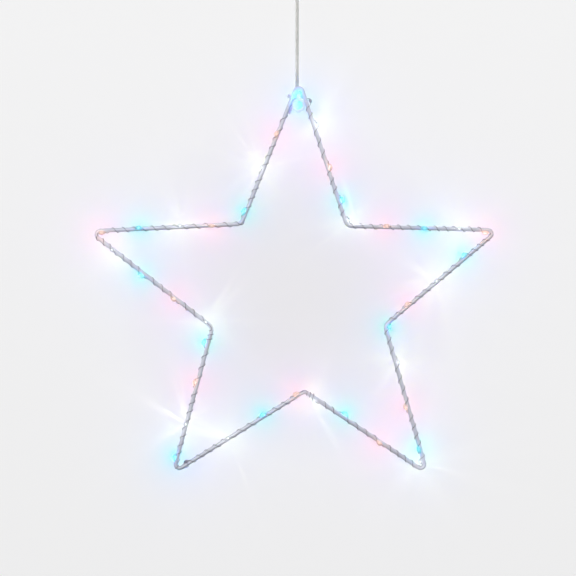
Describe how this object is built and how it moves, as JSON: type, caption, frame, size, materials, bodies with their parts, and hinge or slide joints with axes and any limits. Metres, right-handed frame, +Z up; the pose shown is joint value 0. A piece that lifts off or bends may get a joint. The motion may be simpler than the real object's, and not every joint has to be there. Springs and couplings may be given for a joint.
{
  "type": "led christmas star",
  "caption": "Five-pointed outline star of bent wire wound with an LED string in clear resin drops, hung on a clear twin lead from a small battery box.",
  "frame": {"origin": "centre of the hanging eye at the top of the battery box, midway through the eye", "axes": "+Z up along the lead, +X to the star's right seen from its lit front, +Y towards the back, so the star faces -Y"},
  "size_m": [0.3005, 0.0208, 0.4612],
  "materials": {
    "frame_steel": "satin silver",
    "ring_steel": "satin silver",
    "led_wire_enamel": "gloss, clear over silver wire",
    "resin_cyan": "gloss clear resin, lit cyan",
    "resin_white": "gloss clear resin, lit white",
    "resin_orange": "gloss clear resin, lit orange",
    "resin_violet": "gloss clear resin, dimly lit violet",
    "chip_cyan": "lit cyan",
    "chip_white": "lit white",
    "chip_orange": "lit orange",
    "chip_violet": "dimly lit violet",
    "lead_jacket": "gloss, clear over silver cores",
    "shrink_sleeve": "satin, translucent",
    "clear_tie": "satin, translucent",
    "box_plastic": "fine texture",
    "cover_plastic": "fine texture",
    "panel_plastic": "fine texture",
    "screw_steel": "zinc plated",
    "gland_rubber": "satin",
    "stop_plastic": "satin, translucent",
    "board_laminate": "solder mask green",
    "chip_epoxy": "matte black",
    "resistor_ceramic": "dark glaze",
    "switch_plastic": "satin black",
    "slider_plastic": "satin black",
    "wire_red": "gloss red",
    "wire_black": "gloss black",
    "wire_clear": "gloss, clear over silver cores",
    "contact_nickel": "nickel plated",
    "cell_sleeve": "gloss printed sleeve, plain"
  },
  "bodies": {
    "battery_box": {"aa_cell_left": "cell_sleeve", "aa_cell_middle": "cell_sleeve", "aa_cell_right": "cell_sleeve", "battery_wire_black": "wire_black", "battery_wire_red": "wire_red", "board_resistors": "resistor_ceramic", "box_housing": "box_plastic", "circuit_board": "board_laminate", "contact_link_lower": "contact_nickel", "contact_link_upper": "contact_nickel", "contact_negative": "contact_nickel", "contact_positive": "contact_nickel", "contact_springs": "contact_nickel", "cord_gland": "gland_rubber", "driver_chip": "chip_epoxy", "front_panel": "panel_plastic", "lead_cores": "wire_clear", "panel_screws": "screw_steel", "switch_body": "switch_plastic"},
    "cover": {"battery_cover": "cover_plastic"},
    "switch": {"switch_slider": "slider_plastic"},
    "ball_stop": {"cord_stop": "stop_plastic"},
    "lead": {"lead_cord": "lead_jacket"},
    "star": {"star_frame": "frame_steel", "hanging_ring": "ring_steel", "led_wire_1": "led_wire_enamel", "led_wire_2": "led_wire_enamel", "led_wire_3": "led_wire_enamel", "led_wire_4": "led_wire_enamel", "led_wire_5": "led_wire_enamel", "led_wire_6": "led_wire_enamel", "led_wire_7": "led_wire_enamel", "led_wire_8": "led_wire_enamel", "led_wire_9": "led_wire_enamel", "led_wire_10": "led_wire_enamel", "resin_drops_cyan": "resin_cyan", "resin_drops_white": "resin_white", "resin_drops_orange": "resin_orange", "resin_drops_violet": "resin_violet", "led_chips_cyan": "chip_cyan", "led_chips_white": "chip_white", "led_chips_orange": "chip_orange", "led_chips_violet": "chip_violet", "lead_tail": "lead_jacket", "splice_sleeve": "shrink_sleeve", "cable_tie": "clear_tie"}
  },
  "joints": [
    {"name": "cover_slide", "type": "slide", "parent": "battery_box", "child": "cover", "axis": [0, 0, 1], "range_m": [0, 0.055]},
    {"name": "switch_slide", "type": "slide", "parent": "battery_box", "child": "switch", "axis": [1, 0, 0], "range_m": [-0.002, 0.002]},
    {"name": "side_swing", "type": "hinge", "parent": "battery_box", "child": "ball_stop", "pos_m": [0, 0, -0.077], "axis": [0, -1, 0], "range_deg": [-15, 15]},
    {"name": "fore_swing", "type": "hinge", "parent": "ball_stop", "child": "lead", "pos_m": [0, 0, -0.077], "axis": [1, 0, 0], "range_deg": [-15, 15]},
    {"name": "star_turn", "type": "hinge", "parent": "lead", "child": "star", "pos_m": [0, 0, -0.156], "axis": [0, 0, 1], "range_deg": [-90, 90]}
  ]
}
